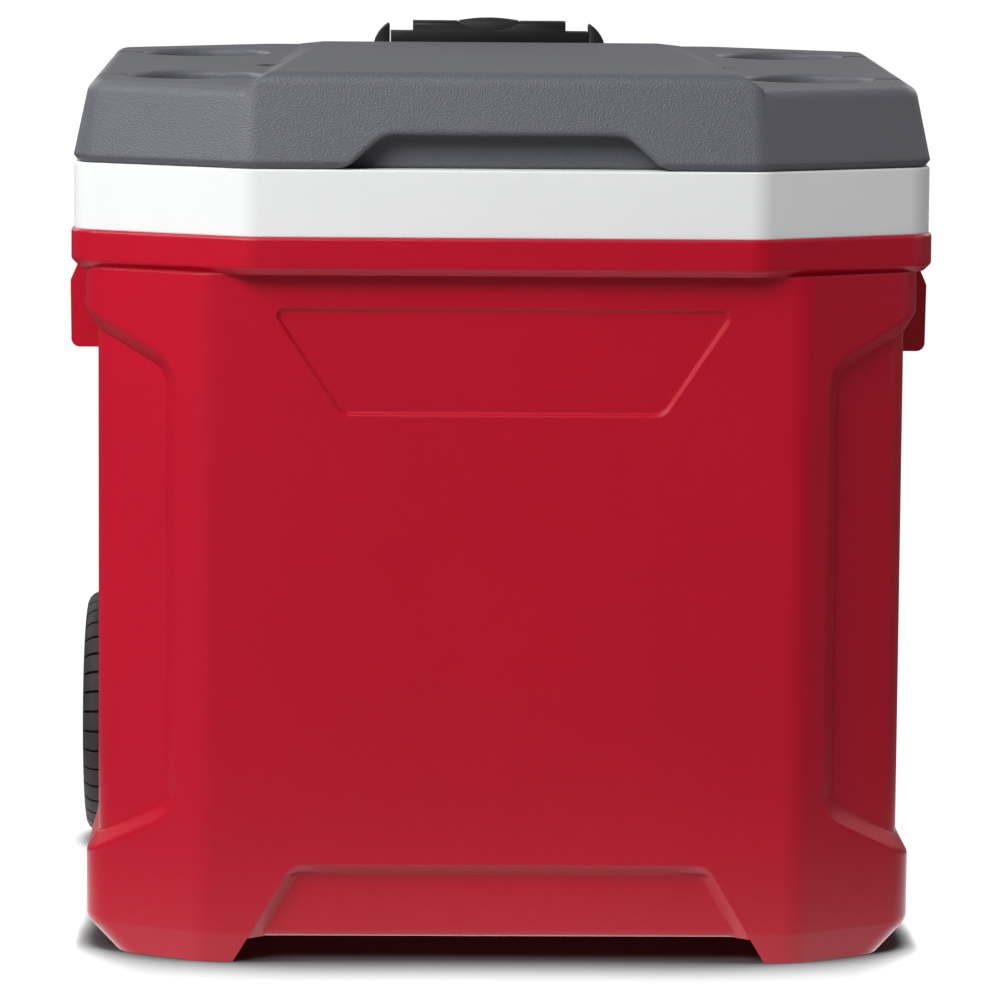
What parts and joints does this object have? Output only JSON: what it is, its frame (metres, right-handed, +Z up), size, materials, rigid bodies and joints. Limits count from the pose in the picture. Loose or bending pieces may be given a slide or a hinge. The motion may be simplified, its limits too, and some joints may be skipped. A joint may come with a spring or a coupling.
{
  "type": "wheeled cooler",
  "caption": "Square hard-sided cooler on rear wheels with a hinged lid, can holders, moulded side handles, a telescoping tow handle and a drain plug.",
  "frame": {"origin": "on the floor under the feet, in the middle of the whole object seen from above", "axes": "+X to the right seen from the front, +Y to the back where the tow handle is, +Z up"},
  "size_m": [0.506, 0.488, 0.52],
  "materials": {
    "red_shell": "fine satin grain",
    "white_liner": "smooth satin",
    "grey_lid": "leathery grain",
    "foam": "rigid insulating foam",
    "black_plastic": "fine grain",
    "tube_metal": "drawn",
    "steel": "plated",
    "tyre": "moulded tread",
    "hub_plastic": "satin",
    "seal_rubber": "matt",
    "bush_plastic": "natural"
  },
  "bodies": {
    "body": {"outer_shell": "red_shell", "inner_liner": "white_liner", "body_foam": "foam", "handle_housing": "black_plastic", "outer_tube_left": "tube_metal", "outer_tube_right": "tube_metal", "tube_collars": "black_plastic", "housing_screws": "steel", "axle_plate_left": "black_plastic", "axle_plate_right": "black_plastic", "axle_left": "steel", "axle_right": "steel", "axle_plate_screws": "steel", "axle_clip_left": "steel", "axle_clip_right": "steel", "hinge_bracket_left": "black_plastic", "hinge_bracket_right": "black_plastic", "hinge_pin_left": "steel", "hinge_pin_right": "steel", "bracket_screws": "steel", "drain_spout": "white_liner", "drain_gasket": "seal_rubber", "drain_nut": "white_liner"},
    "lid": {"lid_top": "grey_lid", "lid_pan": "white_liner", "lid_foam": "foam", "lid_leaf_left": "black_plastic", "lid_leaf_right": "black_plastic", "leaf_screws": "steel"},
    "middle_stage": {"middle_tube_left": "tube_metal", "middle_tube_right": "tube_metal", "stage_collars": "black_plastic", "middle_guides": "bush_plastic", "middle_lock_pins": "steel"},
    "grip": {"inner_tube_left": "tube_metal", "inner_tube_right": "tube_metal", "inner_guides": "bush_plastic", "inner_lock_pins": "steel", "grip_base": "black_plastic", "grip_cover": "black_plastic", "grip_screws": "steel", "button_spring": "steel"},
    "button": {"release_button": "black_plastic", "release_rods": "tube_metal"},
    "wheel_left": {"wheel_hub_left": "hub_plastic", "tyre_left": "tyre", "hub_cap_left": "hub_plastic", "wheel_bush_left": "bush_plastic"},
    "wheel_right": {"wheel_hub_right": "hub_plastic", "tyre_right": "tyre", "hub_cap_right": "hub_plastic", "wheel_bush_right": "bush_plastic"},
    "drain_stopper": {"drain_plug": "black_plastic", "drain_seal": "seal_rubber"}
  },
  "joints": [
    {"name": "lid_hinge", "type": "hinge", "parent": "body", "child": "lid", "pos_m": [0, 0.204, 0.4964], "axis": [-1, 0, 0], "range_deg": [0, 91]},
    {"name": "middle_slide", "type": "slide", "parent": "body", "child": "middle_stage", "axis": [0, 0, 1], "range_m": [0, 0.23]},
    {"name": "grip_slide", "type": "slide", "parent": "middle_stage", "child": "grip", "axis": [0, 0, 1], "range_m": [0, 0.23]},
    {"name": "button_press", "type": "slide", "parent": "grip", "child": "button", "axis": [0, 0, -1], "range_m": [0, 0.0035], "stiffness_N_per_m": 400, "springref_m": -0.004, "deforming": ["button_spring"]},
    {"name": "wheel_left_spin", "type": "hinge", "parent": "body", "child": "wheel_left", "pos_m": [-0.2325, 0.154, 0.082], "axis": [1, 0, 0], "continuous": true},
    {"name": "wheel_right_spin", "type": "hinge", "parent": "body", "child": "wheel_right", "pos_m": [0.2325, 0.154, 0.082], "axis": [1, 0, 0], "continuous": true},
    {"name": "drain_pull", "type": "slide", "parent": "body", "child": "drain_stopper", "axis": [0, 1, 0], "range_m": [0, 0.03]}
  ]
}
